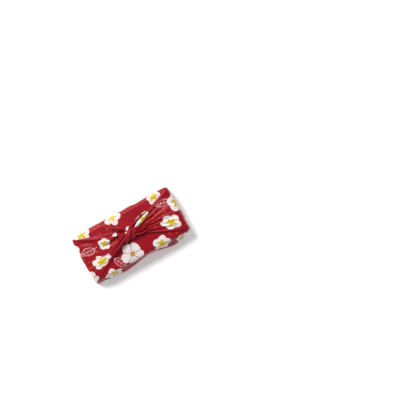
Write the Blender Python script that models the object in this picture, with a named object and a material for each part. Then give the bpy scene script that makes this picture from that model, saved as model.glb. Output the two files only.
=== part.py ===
# A square wrapping cloth (furoshiki) folded round a flat oblong filling and tied on top.
# Metres, +Z up. The origin is under the middle of the footprint, at the height of its flat base.
# +X runs along the wrapped length, and +Y points to the straight long side.
import math

import bmesh
import bpy
from mathutils import Vector

# Size of the wrapped body over the cloth
LENGTH = 0.245
WIDTH = 0.112
HEIGHT = 0.045
TOP_ROUND = 0.0052
BASE_ROUND = 0.0036
# How far the middle of the filling lies from the middle of the footprint, towards +Y
LEAN = 0.0055

# Slack of the cloth round the filling
CROWN = 0.0015
KNOT_LIFT = 0.0015
KNOT_LIFT_REACH = 0.030
FRONT_DROOP = 0.0030
BACK_BULGE = 0.0022
END_BULGE = 0.0026
# How sharply these fade: the slack and the end bulge along X, the droop across the top
SLACK_POWER = 8
END_BULGE_POWER = 3
DROOP_POWER = 6
# Share of the end bulge that is lost at the corners of the ends
END_BULGE_LOSS = 0.5
# Where the -Y side bellies out: middle, reach and spread along X, and the level of its fullest line
FRONT_SLACK = (
    {"x": -0.060, "reach": 0.0115, "spread": 0.058},
    {"x": 0.078, "reach": 0.0140, "spread": 0.044},
)
FRONT_FULL_LEVEL = 0.30
FRONT_FOOT_SHARE = 0.72
# Corners of the top that the filling doesn't reach, where the cloth slumps
SLUMPS = (
    {"x": -0.1225, "y": -0.056, "fall": 0.0085, "reach": 0.017},
    {"x": 0.1225, "y": -0.056, "fall": 0.0040, "reach": 0.015},
    {"x": 0.1225, "y": 0.056, "fall": 0.0015, "reach": 0.014},
)

# The two cloth corners come up the ends and run over the top to the knot
WING_HALF = 0.054
WING_FOOT = 0.0012
WING_THICK = 0.0016
WING_ROOT = 0.0030
WING_TENT = 0.0045
TENT_POWER = 4
NECK_X = 0.014
NECK_PAST = 0.09
NECK_LOW = -0.0035
ROPE_HALF = 0.0080
ROPE_RISE = 0.0090
ROPE_SEAT = 0.0018
ROPE_WRAP = math.radians(88)
# Upper limit at the knot, share of the width that gathers into a rope, and where that starts and ends
WINGS = (
    {"name": "right", "sign": 1, "neck_high": 0.0125, "share": 1.0, "starts": 0.70, "full": 1.00},
    {"name": "left", "sign": -1, "neck_high": 0.0200, "share": 0.58, "starts": 0.42, "full": 0.72},
)
# Gathers in each wing: place across (-1 to 1), half width, height and where they start (0 edge, 1 knot)
PLEATS = {
    "right": (
        {"at": -0.93, "half": 0.075, "rise": 0.0016, "start": 0.10},
        {"at": -0.62, "half": 0.080, "rise": 0.0018, "start": 0.22},
        {"at": -0.34, "half": 0.070, "rise": 0.0016, "start": 0.05},
        {"at": -0.07, "half": 0.075, "rise": 0.0020, "start": 0.18},
        {"at": 0.22, "half": 0.080, "rise": 0.0017, "start": 0.08},
        {"at": 0.52, "half": 0.075, "rise": 0.0020, "start": 0.26},
        {"at": 0.90, "half": 0.085, "rise": 0.0020, "start": 0.00},
    ),
    "left": (
        {"at": -0.90, "half": 0.080, "rise": 0.0014, "start": 0.20},
        {"at": -0.60, "half": 0.070, "rise": 0.0016, "start": 0.42},
        {"at": -0.30, "half": 0.070, "rise": 0.0017, "start": 0.34},
        {"at": 0.00, "half": 0.070, "rise": 0.0015, "start": 0.46},
        {"at": 0.58, "half": 0.080, "rise": 0.0010, "start": 0.12},
        {"at": 0.93, "half": 0.075, "rise": 0.0016, "start": 0.00},
    ),
}
# A gather grows from this far before its start to this far past it
PLEAT_FADE = 0.40
PLEAT_GROWTH = 0.35

# Folds of cloth that arch over the middle of the knot
ARCHES = (
    {"start": (0.009, 0.014), "end": (-0.017, -0.008), "rise": 0.0145, "half": 0.0055, "thick": 0.0042},
    {"start": (0.0155, 0.009), "end": (0.004, -0.0085), "rise": 0.0120, "half": 0.0045, "thick": 0.0038},
    {"start": (0.003, 0.019), "end": (-0.012, 0.006), "rise": 0.0100, "half": 0.0040, "thick": 0.0034},
)
ARCH_FOOT = 0.0005
ARCH_POWER = 0.75
KNOT_CORE = {"middle": (-0.001, 0.003, 0.0065), "radii": (0.0165, 0.0120, 0.0085)}

# Loose corners beyond the knot: stations along each, with height above the body, half width, half
# thickness, and how far the two sides run ahead of the middle
TAILS = {
    "right": (
        {"x": 0.0024, "y": 0.0085, "up": 0.0080, "half": 0.0040, "thick": 0.0045, "cup": 0.0},
        {"x": 0.013, "y": 0.0125, "up": 0.0100, "half": 0.0050, "thick": 0.0042, "cup": 0.0},
        {"x": 0.024, "y": 0.0165, "up": 0.0100, "half": 0.0068, "thick": 0.0036, "cup": 0.0},
        {"x": 0.036, "y": 0.0205, "up": 0.0088, "half": 0.0078, "thick": 0.0032, "cup": 0.0},
        {"x": 0.047, "y": 0.0240, "up": 0.0074, "half": 0.0068, "thick": 0.0028, "cup": 0.0},
        {"x": 0.056, "y": 0.0270, "up": 0.0064, "half": 0.0042, "thick": 0.0024, "cup": 0.0},
        {"x": 0.061, "y": 0.0285, "up": 0.0060, "half": 0.0015, "thick": 0.0018, "cup": 0.0},
    ),
    "left": (
        {"x": -0.0044, "y": 0.0050, "up": 0.0090, "half": 0.0045, "thick": 0.0045, "cup": 0.0},
        {"x": -0.012, "y": 0.0110, "up": 0.0100, "half": 0.0056, "thick": 0.0042, "cup": 0.0},
        {"x": -0.020, "y": 0.0170, "up": 0.0096, "half": 0.0078, "thick": 0.0036, "cup": 0.001},
        {"x": -0.027, "y": 0.0220, "up": 0.0080, "half": 0.0098, "thick": 0.0032, "cup": 0.003},
        {"x": -0.032, "y": 0.0260, "up": 0.0066, "half": 0.0112, "thick": 0.0026, "cup": 0.006},
    ),
}
# Depth of the dent along a fold, as a share of its thickness, and its width as a share of the half width
FOLD_GROOVE = 0.35
GROOVE_WIDTH = 0.45

# How finely the faces are divided, and the extra lines inside and beside a round edge
LENGTH_STEPS = 26
WIDTH_STEPS = 12
HEIGHT_STEPS = 5
WING_STEPS_UP = 6
WING_STEPS_OVER = 16
WING_STEPS_ACROSS = 30
ARCH_STEPS = 12
SECTION_SIDES = 12
TAIL_SUBSTEPS = 2
ROUND_LINE = 0.4
EDGE_RUNS = (0.0, 0.02, 0.05)

CLOTH_COLOUR = (0.36, 0.011, 0.024, 1.0)
CLOTH_ROUGHNESS = 0.8


def mix(a, b, share):
    return a + (b - a) * share


def clamp(value, low, high):
    return max(low, min(high, value))


def smooth(value, low, high):
    """Rises from 0 at low to 1 at high without a kink."""
    share = clamp((value - low) / (high - low), 0.0, 1.0)
    return share * share * (3 - 2 * share)


def bell(distance):
    return math.exp(-distance * distance)


def front_slack(x):
    total = sum(slack["reach"] * bell((x - slack["x"]) / slack["spread"]) for slack in FRONT_SLACK)
    return total * (1 - abs(2 * x / LENGTH) ** SLACK_POWER)


def front_belly(level):
    """Share of the slack at a level of the -Y side: full low down, less at the foot, none at the top."""
    if level > FRONT_FULL_LEVEL:
        return 1 - smooth(level, FRONT_FULL_LEVEL, 1.0)
    return mix(FRONT_FOOT_SHARE, 1.0, smooth(level, 0.0, FRONT_FULL_LEVEL))


def rounded(x, y, z):
    """A point of the sharp box, moved onto the same box with round edges, and its outward normal."""
    radius = mix(BASE_ROUND, TOP_ROUND, z / HEIGHT)
    inner = Vector((
        clamp(x, radius - LENGTH / 2, LENGTH / 2 - radius),
        clamp(y, radius - WIDTH / 2, WIDTH / 2 - radius),
        clamp(z, radius, HEIGHT - radius),
    ))
    normal = (Vector((x, y, z)) - inner).normalized()
    return inner + normal * radius, normal


def settled(point):
    """The same point once the cloth has crowned, bulged and slumped."""
    x, y, z = point
    along = clamp(2 * x / LENGTH, -1.0, 1.0)
    across = clamp(2 * y / WIDTH, -1.0, 1.0)
    level = clamp(z / HEIGHT, 0.0, 1.0)
    belly = 4 * level * (1 - level)
    rise = CROWN * (1 - along**2) * (1 - across**2)
    rise += KNOT_LIFT * bell(math.hypot(x, y) / KNOT_LIFT_REACH)
    for slump in SLUMPS:
        rise -= slump["fall"] * bell(math.hypot(x - slump["x"], y - slump["y"]) / slump["reach"])
    if across < 0:
        rise -= FRONT_DROOP * across**DROOP_POWER
        shift = -front_slack(x) * front_belly(level) * across**2
    else:
        shift = BACK_BULGE * belly * across**2
    stretch = END_BULGE * belly * (1 - END_BULGE_LOSS * across**2) * abs(along) ** END_BULGE_POWER
    return Vector((x + math.copysign(stretch, x), y + shift + LEAN, z + rise * level))


def skin(x, y, z, lift):
    """A point that lies a given height over the settled cloth of the body."""
    point, normal = rounded(x, y, z)
    return settled(point) + normal * lift


def stops(low, high, round_low, round_high, steps):
    """Grid lines from low to high, with two extra ones inside each round edge."""
    first = [low, low + ROUND_LINE * round_low]
    last = [high - ROUND_LINE * round_high, high]
    start = low + round_low
    span = high - round_high - start
    return first + [start + span * i / steps for i in range(steps + 1)] + last


def mesh_object(name, bm):
    bmesh.ops.recalc_face_normals(bm, faces=bm.faces)
    mesh = bpy.data.meshes.new(name)
    bm.to_mesh(mesh)
    bm.free()
    piece = bpy.data.objects.new(name, mesh)
    bpy.context.scene.collection.objects.link(piece)
    return piece


def wrapped_body():
    """The filled body, as a box grid whose outer points are moved onto the settled cloth."""
    xs = stops(-LENGTH / 2, LENGTH / 2, TOP_ROUND, TOP_ROUND, LENGTH_STEPS)
    ys = stops(-WIDTH / 2, WIDTH / 2, TOP_ROUND, TOP_ROUND, WIDTH_STEPS)
    zs = stops(0.0, HEIGHT, BASE_ROUND, TOP_ROUND, HEIGHT_STEPS)
    bm = bmesh.new()
    verts = {}

    def vert(i, j, k):
        if (i, j, k) not in verts:
            verts[i, j, k] = bm.verts.new(skin(xs[i], ys[j], zs[k], 0.0))
        return verts[i, j, k]

    nx, ny, nz = len(xs) - 1, len(ys) - 1, len(zs) - 1
    for i in range(nx):
        for j in range(ny):
            for k in (0, nz):
                bm.faces.new((vert(i, j, k), vert(i + 1, j, k), vert(i + 1, j + 1, k), vert(i, j + 1, k)))
    for i in range(nx):
        for k in range(nz):
            for j in (0, ny):
                bm.faces.new((vert(i, j, k), vert(i + 1, j, k), vert(i + 1, j, k + 1), vert(i, j, k + 1)))
    for j in range(ny):
        for k in range(nz):
            for i in (0, nx):
                bm.faces.new((vert(i, j, k), vert(i, j + 1, k), vert(i, j + 1, k + 1), vert(i, j, k + 1)))
    return mesh_object("furoshiki", bm)


def pleat_rise(wing, run, across):
    """Height of the gathers at run (0 at the top edge, 1 at the knot) and across (-1 to 1)."""
    total = 0.0
    for pleat in PLEATS[wing["name"]]:
        grown = smooth(run, pleat["start"] - PLEAT_FADE, pleat["start"] + PLEAT_GROWTH)
        total += pleat["rise"] * grown * bell((across - pleat["at"]) / pleat["half"])
    return total


def wing_edges(wing, run):
    """The lower and upper limits of a wing on the top, which are straight from the end to the knot."""
    run = min(run, 1.0)
    return mix(-WING_HALF, NECK_LOW, run), mix(WING_HALF, wing["neck_high"], run)


def gathered(wing, run, across):
    """Where a thread of the wing lies across the top, its place on the rope, and its share past the rope."""
    low, high = wing_edges(wing, run)
    share = (across + 1) / 2
    even = mix(low, high, share)
    if wing["share"] == 1.0:
        return even, across, 0.0
    rope_high = min(low + 2 * ROPE_HALF, high)
    pulled = smooth(run, 0.0, wing["full"])
    if share <= wing["share"]:
        place = share / wing["share"]
        return mix(even, mix(low, rope_high, place), pulled), 2 * place - 1, 0.0
    beyond = (share - wing["share"]) / (1 - wing["share"])
    return mix(even, mix(rope_high, high, beyond), pulled), 1.0, beyond


def wing_point(wing, run, across):
    """A point of a wing's outer face: run is -1 at the foot of the end, 0 at the top edge, 1 at the knot."""
    rise = pleat_rise(wing, run, across)
    if run <= 0:
        z = mix(HEIGHT, WING_FOOT, -run)
        return skin(wing["sign"] * LENGTH / 2, WING_HALF * across, z, WING_THICK + rise)
    x = wing["sign"] * mix(LENGTH / 2, NECK_X, run)
    y, place, beyond = gathered(wing, run, across)
    grown = min(run, 1.0) ** 2
    tent = 2 * WING_TENT * beyond * (1 - beyond) if beyond > 0 else WING_TENT * (1 - place**TENT_POWER)
    flat = skin(x, y, HEIGHT, WING_THICK + grown * tent + rise)
    roped = smooth(run, wing["starts"], wing["full"])
    if roped == 0 or beyond > 0:
        return flat
    seat = skin(x, wing_edges(wing, run)[0] + ROPE_HALF, HEIGHT, ROPE_SEAT)
    out = Vector((0, math.sin(ROPE_WRAP * place), math.cos(ROPE_WRAP * place)))
    rope = seat + Vector((0, out.y * ROPE_HALF, out.z * ROPE_RISE)) + out * rise
    return flat.lerp(rope, roped)


def wing_root(wing, run, across):
    """The point inside the body that closes the wing behind its outer face."""
    if run <= 0:
        z = mix(HEIGHT, WING_FOOT, -run)
        return skin(wing["sign"] * LENGTH / 2, WING_HALF * across, z, -WING_ROOT)
    x = wing["sign"] * mix(LENGTH / 2, NECK_X, run)
    y = gathered(wing, run, across)[0]
    return skin(x, y, HEIGHT, -WING_ROOT)


def closed_sheet(name, outer, inner):
    """One closed body between two grids of points with the same rows and columns."""
    bm = bmesh.new()
    faces = [[[bm.verts.new(p) for p in row] for row in grid] for grid in (outer, inner)]
    rows, columns = len(outer), len(outer[0])
    for grid in faces:
        for i in range(rows - 1):
            for j in range(columns - 1):
                bm.faces.new((grid[i][j], grid[i + 1][j], grid[i + 1][j + 1], grid[i][j + 1]))
    top, bottom = faces
    for j in (0, columns - 1):
        for i in range(rows - 1):
            bm.faces.new((top[i][j], top[i + 1][j], bottom[i + 1][j], bottom[i][j]))
    for i in (0, rows - 1):
        bm.faces.new(top[i] + bottom[i][::-1])
    return mesh_object(name, bm)


def wing_solid(wing):
    runs = [-1 + i / WING_STEPS_UP for i in range(WING_STEPS_UP)]
    runs += EDGE_RUNS
    runs += [mix(EDGE_RUNS[-1], 1 + NECK_PAST, (i + 1) / WING_STEPS_OVER) for i in range(WING_STEPS_OVER)]
    places = [-1 + 2 * j / WING_STEPS_ACROSS for j in range(WING_STEPS_ACROSS + 1)]
    outer = [[wing_point(wing, run, across) for across in places] for run in runs]
    inner = [[wing_root(wing, run, across) for across in places] for run in runs]
    return closed_sheet("wing_" + wing["name"], outer, inner)


def ring(half, thick, cup):
    """Section of a fold: a flat oval dented along its top, whose two sides run ahead by cup."""
    points = []
    for i in range(SECTION_SIDES):
        angle = 2 * math.pi * i / SECTION_SIDES
        up = thick * math.sin(angle)
        if up > 0:
            up *= 1 - FOLD_GROOVE * bell(math.cos(angle) / GROOVE_WIDTH)
        points.append((half * math.cos(angle), up, cup * math.cos(angle) ** 2))
    return points


def swept(name, path, side, sections):
    """A closed body whose rings stand along a path, with side as their level axis."""
    bm = bmesh.new()
    rings = []
    for i, centre in enumerate(path):
        ahead = (path[min(i + 1, len(path) - 1)] - path[max(i - 1, 0)]).normalized()
        up = ahead.cross(side).normalized()
        rings.append([bm.verts.new(centre + side * a + up * b + ahead * c) for a, b, c in sections[i]])
    for lower, upper in zip(rings, rings[1:]):
        for i in range(len(lower)):
            after = (i + 1) % len(lower)
            bm.faces.new((lower[i], lower[after], upper[after], upper[i]))
    for end, centre in ((rings[0], path[0]), (rings[-1], path[-1])):
        middle = bm.verts.new(centre)
        for i in range(len(end)):
            bm.faces.new((end[i], end[(i + 1) % len(end)], middle))
    return mesh_object(name, bm)


def arch_solid(number, arch):
    """One fold of the knot, from its foot on one side over the crest to its foot on the other."""
    start = Vector((*arch["start"], HEIGHT + ARCH_FOOT))
    end = Vector((*arch["end"], HEIGHT + ARCH_FOOT))
    shift = Vector((0, LEAN, 0))
    side = Vector((0, 0, 1)).cross(end - start).normalized()
    path = []
    sections = []
    for i in range(ARCH_STEPS + 1):
        turn = math.pi * i / ARCH_STEPS
        level = Vector((0, 0, arch["rise"] * math.sin(turn) ** ARCH_POWER))
        path.append(start.lerp(end, (1 - math.cos(turn)) / 2) + level + shift)
        sections.append(ring(arch["half"], arch["thick"], 0.0))
    return swept(f"arch_{number}", path, side, sections)


def tail_solid(name, stations):
    """A loose corner of the cloth, folded on itself and lying just over the top."""
    path = []
    sections = []
    for here, after in zip(stations, stations[1:]):
        for i in range(TAIL_SUBSTEPS):
            share = i / TAIL_SUBSTEPS
            path.append(station_point(here).lerp(station_point(after), share))
            half = mix(here["half"], after["half"], share)
            thick = mix(here["thick"], after["thick"], share)
            sections.append(ring(half, thick, mix(here["cup"], after["cup"], share)))
    last = stations[-1]
    path.append(station_point(last))
    sections.append(ring(last["half"], last["thick"], last["cup"]))
    run = path[-1] - path[0]
    side = Vector((0, 0, 1)).cross(run).normalized()
    return swept("tail_" + name, path, side, sections)


def station_point(station):
    return Vector((station["x"], station["y"] + LEAN, HEIGHT + station["up"]))


def knot_core():
    """The cloth packed inside the knot."""
    bm = bmesh.new()
    bmesh.ops.create_icosphere(bm, subdivisions=2, radius=1.0)
    middle = Vector(KNOT_CORE["middle"]) + Vector((0, LEAN, HEIGHT))
    radii = KNOT_CORE["radii"]
    for vert in bm.verts:
        vert.co = middle + Vector(r * c for r, c in zip(radii, vert.co))
    return mesh_object("knot_core", bm)


def cloth_material():
    material = bpy.data.materials.new("red cotton")
    material.use_nodes = True
    shader = material.node_tree.nodes["Principled BSDF"]
    shader.inputs["Base Color"].default_value = CLOTH_COLOUR
    shader.inputs["Roughness"].default_value = CLOTH_ROUGHNESS
    shader.inputs["Metallic"].default_value = 0.0
    return material


def join_cloth(body, others):
    """Makes one solid of the body and the forms that lie on it."""
    for other in others:
        other.hide_render = True
        other.display_type = "WIRE"
        union = body.modifiers.new("join " + other.name, "BOOLEAN")
        union.operation = "UNION"
        union.solver = "EXACT"
        union.object = other


def build():
    for old in list(bpy.data.objects):
        bpy.data.objects.remove(old, do_unlink=True)
    body = wrapped_body()
    others = [wing_solid(wing) for wing in WINGS]
    others.append(knot_core())
    others += [arch_solid(i + 1, arch) for i, arch in enumerate(ARCHES)]
    others += [tail_solid(name, stations) for name, stations in TAILS.items()]
    join_cloth(body, others)
    body.data.materials.append(cloth_material())


build()
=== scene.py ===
# Looks of a square wrapping cloth (furoshiki) folded round a flat oblong filling and tied on top.
# Metres, +Z up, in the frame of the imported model: +X along the wrapped length, base at height 0.
import math

import bmesh
import bpy
import numpy as np
from mathutils import Matrix, Vector, noise


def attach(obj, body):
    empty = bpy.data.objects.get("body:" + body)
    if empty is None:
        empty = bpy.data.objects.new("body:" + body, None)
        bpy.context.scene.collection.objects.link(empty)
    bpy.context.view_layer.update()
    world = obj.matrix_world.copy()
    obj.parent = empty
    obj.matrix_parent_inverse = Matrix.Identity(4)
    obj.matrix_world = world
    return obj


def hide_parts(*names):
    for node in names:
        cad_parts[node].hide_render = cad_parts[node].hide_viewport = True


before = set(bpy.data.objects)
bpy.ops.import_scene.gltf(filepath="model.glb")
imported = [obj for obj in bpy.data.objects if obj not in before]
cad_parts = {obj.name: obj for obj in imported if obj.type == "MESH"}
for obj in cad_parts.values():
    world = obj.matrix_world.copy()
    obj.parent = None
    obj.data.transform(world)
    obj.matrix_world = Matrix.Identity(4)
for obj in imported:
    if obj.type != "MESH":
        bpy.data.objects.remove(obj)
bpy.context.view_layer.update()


def table(columns, *rows):
    """Rows of numbers, each of which can be read by its column's name."""
    return tuple(dict(zip(columns.split(), row)) for row in rows)


NODE = "furoshiki"

# Size of the wrapped body over the cloth, as in the solid
LENGTH = 0.245
WIDTH = 0.112
HEIGHT = 0.045
TOP_ROUND = 0.0052
BASE_ROUND = 0.0036
LEAN = 0.0055
CROWN = 0.0015
KNOT_LIFT = 0.0015
KNOT_LIFT_REACH = 0.030
FRONT_DROOP = 0.0030
BACK_BULGE = 0.0022
END_BULGE = 0.0026
SLACK_POWER = 8
END_BULGE_POWER = 3
DROOP_POWER = 6
END_BULGE_LOSS = 0.5
FRONT_SLACK = (
    {"x": -0.060, "reach": 0.0115, "spread": 0.058},
    {"x": 0.078, "reach": 0.0140, "spread": 0.044},
)
FRONT_FULL_LEVEL = 0.30
FRONT_FOOT_SHARE = 0.72
SLUMPS = (
    {"x": -0.1225, "y": -0.056, "fall": 0.0085, "reach": 0.017},
    {"x": 0.1225, "y": -0.056, "fall": 0.0040, "reach": 0.015},
    {"x": 0.1225, "y": 0.056, "fall": 0.0015, "reach": 0.014},
)
# Slack that the solid leaves out: more belly at the back and at the left end, and a pouch low at a corner
BACK_SLACK = {"left": 0.0050, "right": 0.0015}
BACK_SLACK_POWER = 16
LEFT_END_SLACK = 0.0020
POUCH = {"x": -0.1225, "y": -0.056, "reach": 0.016, "out_x": -0.0045, "out_y": -0.0085, "power": 0.8}

# The cloth itself: a square whose corners point along X and Y before it is folded
CLOTH_SIDE = 0.50
CORNER = CLOTH_SIDE / math.sqrt(2)
CLOTH_THICK = 0.0005
HEM_WIDTH = 0.0050

# Gathered wings, as in the solid
WING_HALF = 0.054
WING_FOOT = 0.0008
WING_THICK = 0.0016
WING_UNDER = 0.0006
WING_TENT = 0.0045
TENT_POWER = 4
NECK_X = 0.014
NECK_PAST = 0.09
NECK_LOW = -0.0035
# Where the highest strands end inside the knot, and from which share of the run they turn there
NECK_TUCK = 0.010
NECK_TUCK_START = 0.84
ROPE_HALF = 0.0080
ROPE_RISE = 0.0090
ROPE_SEAT = 0.0018
ROPE_WRAP = math.radians(88)
ROPE_MOST = 0.9
WINGS = (
    {"name": "right", "sign": 1, "neck_high": 0.0125, "share": 1.0, "starts": 0.70, "full": 1.00},
    {"name": "left", "sign": -1, "neck_high": 0.0200, "share": 0.58, "starts": 0.42, "full": 0.72},
)
# Main gathers: place across the wing from -1 to 1, half width, height, and where along the run they start
PLEATS = {
    "right": table(
        "at half rise start",
        (-0.93, 0.075, 0.0016, 0.10),
        (-0.62, 0.080, 0.0018, 0.22),
        (-0.34, 0.070, 0.0016, 0.05),
        (-0.07, 0.075, 0.0020, 0.18),
        (0.22, 0.080, 0.0017, 0.08),
        (0.52, 0.075, 0.0020, 0.26),
        (0.90, 0.085, 0.0020, 0.00),
    ),
    "left": table(
        "at half rise start",
        (-0.90, 0.080, 0.0014, 0.50),
        (-0.60, 0.070, 0.0016, 0.55),
        (-0.30, 0.070, 0.0017, 0.44),
        (0.00, 0.070, 0.0015, 0.46),
        (0.58, 0.080, 0.0010, 0.12),
        (0.93, 0.075, 0.0016, 0.00),
    ),
}
# Creases over each wing that slant from a corner towards the knot: their place at the top edge and at the
# knot, their rise (below 0 for a valley), the width of their two sides, and where along the run they end
SLANTS = {
    "right": ({"at": -0.97, "to": -0.30, "rise": -0.0007, "below": 0.10, "above": 0.10, "end": 1.4},),
    "left": (
        {"at": 0.97, "to": 0.12, "rise": -0.0018, "below": 0.16, "above": 0.16, "end": 1.4},
        {"at": 1.02, "to": 0.59, "rise": 0.0017, "below": 0.04, "above": 0.16, "end": 0.85},
    ),
}
SLANT_START = (-0.3, 0.1)
SLANT_FADE = 0.3
PLEAT_FADE = 0.40
PLEAT_GROWTH = 0.35
# The gathers here are rounder, higher and meet in sharp valleys that sink towards the knot
PLEAT_SPAN = 2.0
PLEAT_LIFT = 1.45
PLEAT_SINK = 0.0026
PLEAT_SINK_START = 0.15
PLEAT_SINK_FULL = 0.95
# How far the gathers sway from side to side on their way to the knot, and how often
PLEAT_SWAY = 0.050
PLEAT_SWAY_WAVES = 7.5
PLEAT_SWAY_LEAN = 3.4
# Broad soft folds under these, which reach the top edge: height, number, how uneven, and their growth
BROAD_RISE = 0.0009
BROAD_WAVES = 10.5
BROAD_DRIFT = 1.3
BROAD_BEAT = 2.3
BROAD_LEAN = 1.1
BROAD_START = -0.05
BROAD_FULL = 0.50
# Finer gathers between these: height, number, how uneven they lie, and where along the wing they grow
FINE_PLEAT_RISE = 0.00040
FINE_PLEAT_MEAN = 0.64
FINE_PLEAT_WAVES = 34.0
FINE_PLEAT_DRIFT = 3.0
FINE_PLEAT_BEAT = 4.3
FINE_PLEAT_LEAN = 2.2
FINE_PLEAT_START = 0.15
FINE_PLEAT_FULL = 0.80
# Fold along each edge of a wing, and the margin turned under it
FOLD_RADIUS = 0.0006
FOLD_LINES = 5
MARGIN_SHARE = 0.14
MARGIN_LINES = 5
NECK_ROWS = 8

# Unevenness of the cloth: height, size, and a seed that moves it to another place of the noise
RIPPLE_SHIFT = (1.0, 2.7, -1.3)
WRINKLE_BROAD = {"rise": 0.00055, "size": 0.026, "seed": 3.1}
WRINKLE_FINE = {"rise": 0.00014, "size": 0.008, "seed": 8.4}
WRINKLE_FREE_FOOT = 0.006
# Long shallow creases that lie along the pull of the cloth: up the sides and over the top
PULL_OVER = {"rise": 0.0008, "size": 0.012, "seed": 5.2}
PULL_UP_END = {"rise": 0.0008, "size": 0.012, "seed": 1.7}
PULL_ALONG = 0.065
PULL_SLANT = 0.35
PULL_END = 0.006
# The flap that comes over the top ends on the -Y side in a slanted, hemmed edge over the layer below
FLAP_STEP = 0.0009
FLAP_EDGE = 0.0003
FLAP_FOOT = CORNER - (3 * WIDTH / 2 + 2 * HEIGHT)
FAR = 1.0
TINY = 1e-12

# Folds of the knot, as in the solid
ARCHES = (
    {"start": (0.009, 0.014), "end": (-0.017, -0.008), "rise": 0.0145, "half": 0.0055, "thick": 0.0042},
    {"start": (0.0155, 0.009), "end": (0.004, -0.0085), "rise": 0.0120, "half": 0.0045, "thick": 0.0038},
    {"start": (0.003, 0.019), "end": (-0.012, 0.006), "rise": 0.0100, "half": 0.0040, "thick": 0.0034},
)
ARCH_FOOT = 0.0005
ARCH_POWER = 0.75
ARCH_RIDGES = 7
ARCH_RIDGE_DEPTH = 0.30
ARCH_RIDGE_SHARP = 0.7
ARCH_UNEVEN = 0.22
ARCH_UNEVEN_BEAT = 0.6
ARCH_TWIST = 0.5
ARCH_PINCH = 0.85
CORE_RIDGES = 9
CORE_RIDGE_DEPTH = 0.14
CORE_SMOOTH_POLE = 0.3
CORE_STEPS = 30
KNOT_CORE = {"middle": (-0.001, 0.003, 0.0065), "radii": (0.0165, 0.0120, 0.0085)}
# Loose corners. The left one is broader, steeper and higher than in the solid
TAIL_STATIONS = {
    "right": table(
        "x y up half thick",
        (0.0024, 0.0085, 0.0080, 0.0040, 0.0045),
        (0.0130, 0.0125, 0.0100, 0.0050, 0.0042),
        (0.0240, 0.0165, 0.0100, 0.0068, 0.0036),
        (0.0360, 0.0205, 0.0088, 0.0078, 0.0032),
        (0.0470, 0.0240, 0.0074, 0.0068, 0.0028),
        (0.0560, 0.0270, 0.0064, 0.0050, 0.0024),
        (0.0610, 0.0285, 0.0060, 0.0026, 0.0018),
    ),
    "left": table(
        "x y up half thick",
        (-0.0036, 0.0060, 0.0095, 0.0056, 0.0045),
        (-0.0106, 0.0135, 0.0116, 0.0084, 0.0060),
        (-0.0186, 0.0190, 0.0126, 0.0097, 0.0066),
        (-0.0255, 0.0235, 0.0125, 0.0104, 0.0063),
        (-0.0316, 0.0273, 0.0112, 0.0102, 0.0050),
    ),
}
# How far the two sides of a loose corner reach past its middle, and its +Y side past the other
TAIL_ENDS = {"right": (0.0, 0.0), "left": (0.0046, 0.0038)}
TAIL_END_START = 0.25
# Soft folds out of the knot that die away along the loose corners, and their unevenness
TAIL_FOLD_RISE = {"right": 0.0005, "left": 0.0010}
TAIL_FOLD_WAVES = 11.0
TAIL_FOLD_LEAN = 2.0
TAIL_FOLD_END = 0.9
TAIL_RIPPLE = {"rise": 0.0007, "size": 0.013, "seed": 6.3}
# Sections of the loose corners, from one hem to the other: sideways and up, as shares of half and thick
TAIL_SECTIONS = {
    "right": (
        (0.78, 1.00), (1.02, 0.55), (0.96, -0.15), (0.55, -0.70), (-0.10, -0.85), (-0.70, -0.60),
        (-0.98, 0.00), (-0.86, 0.62), (-0.50, 0.88), (-0.10, 0.62), (0.22, 0.10),
    ),
    "left": (
        (-0.60, -1.50), (-0.88, -0.70), (-1.00, 0.15), (-0.98, 0.80), (-0.84, 1.10), (-0.62, 0.80),
        (-0.28, 0.15), (0.06, -0.50), (0.32, -0.88), (0.56, -0.82), (0.80, -0.45), (1.00, -0.15),
    ),
}
# Where each loose corner lies on the flat cloth: distance from the middle at the knot
TAIL_FLAT_START = 0.292
TAIL_FLAT_HALF = 0.030
TAIL_TIP_GAP = 0.004
TAIL_TIP_SHARE = {"right": 0.25, "left": 0.60}
# Width of a loose corner's section measured along its folds, as a share of its plain width
TAIL_SPREAD = 1.6
# Where the folds of the knot lie on the flat cloth, and how much of it each shows
KNOT_FLAT = ((0.262, 0.036), (0.262, -0.022), (-0.292, 0.020), (0.3134, 0.0175))
KNOT_FLAT_LENGTH = 0.034
KNOT_FLAT_WIDTH = 0.030

# Grid steps of the pieces
BODY_STEP = 0.0016
WING_STEP = 0.0011
ROUND_LINES = 5
ARCH_STEPS = 44
ARCH_SIDES = 56
TAIL_STEPS = 60
TAIL_SIDES = 44
WELD_DISTANCE = 0.00001

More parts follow.
